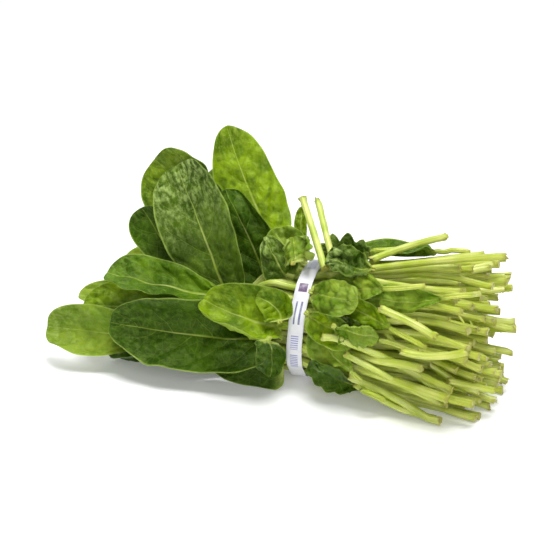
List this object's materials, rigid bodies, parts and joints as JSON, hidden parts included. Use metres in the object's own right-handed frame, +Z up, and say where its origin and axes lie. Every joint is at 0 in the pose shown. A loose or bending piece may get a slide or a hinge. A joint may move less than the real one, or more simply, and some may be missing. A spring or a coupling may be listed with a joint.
{
  "type": "spinach bunch",
  "caption": "Bunch of flat-leaf spinach lying on its side, tied once round its stalks, with blades fanned out at one end and cut stalk ends at the other.",
  "frame": {"origin": "centre of the bounding box, at its bottom, on the surface that the bunch lies on", "axes": "+X from the blades to the cut ends of the stalks, along the length of the bunch; +Z up; -Y is the side that its front leaves face"},
  "size_m": [0.3048, 0.14, 0.149],
  "materials": {
    "leaf": "waxy leaf, semi-gloss",
    "stalk": "smooth ribbed stalk, satin",
    "tie": "coated white paper with violet bars"
  },
  "bodies": {
    "root": {"leaf_back_broad": "leaf", "leaf_back_cup": "leaf", "leaf_back_dark": "leaf", "leaf_back_far": "leaf", "leaf_back_high": "leaf", "leaf_back_mid": "leaf", "leaf_back_shelf": "leaf", "leaf_back_under": "leaf", "leaf_behind": "leaf", "leaf_blade": "leaf", "leaf_broad": "leaf", "leaf_core_low": "leaf", "leaf_core_mid": "leaf", "leaf_cup": "leaf", "leaf_curl": "leaf", "leaf_dark": "leaf", "leaf_face": "leaf", "leaf_far": "leaf", "leaf_left": "leaf", "leaf_loose_back": "leaf", "leaf_loose_crisp": "leaf", "leaf_loose_curl": "leaf", "leaf_loose_front": "leaf", "leaf_loose_long": "leaf", "leaf_loose_low": "leaf", "leaf_loose_pale": "leaf", "leaf_loose_top": "leaf", "leaf_low_back": "leaf", "leaf_low_mid": "leaf", "leaf_nook": "leaf", "leaf_shadow": "leaf", "leaf_shelf": "leaf", "leaf_tall": "leaf", "leaf_under": "leaf", "stalk_01": "stalk", "stalk_02": "stalk", "stalk_03": "stalk", "stalk_04": "stalk", "stalk_05": "stalk", "stalk_06": "stalk", "stalk_07": "stalk", "stalk_08": "stalk", "stalk_09": "stalk", "stalk_10": "stalk", "stalk_11": "stalk", "stalk_12": "stalk", "stalk_13": "stalk", "stalk_14": "stalk", "stalk_15": "stalk", "stalk_16": "stalk", "stalk_17": "stalk", "stalk_across": "stalk", "stalk_bent": "stalk", "stalk_leaning": "stalk", "stalk_over": "stalk", "stalk_snapped": "stalk", "stalk_stub": "stalk", "stalk_top": "stalk", "stalk_upright": "stalk", "tie": "tie"}
  },
  "joints": []
}
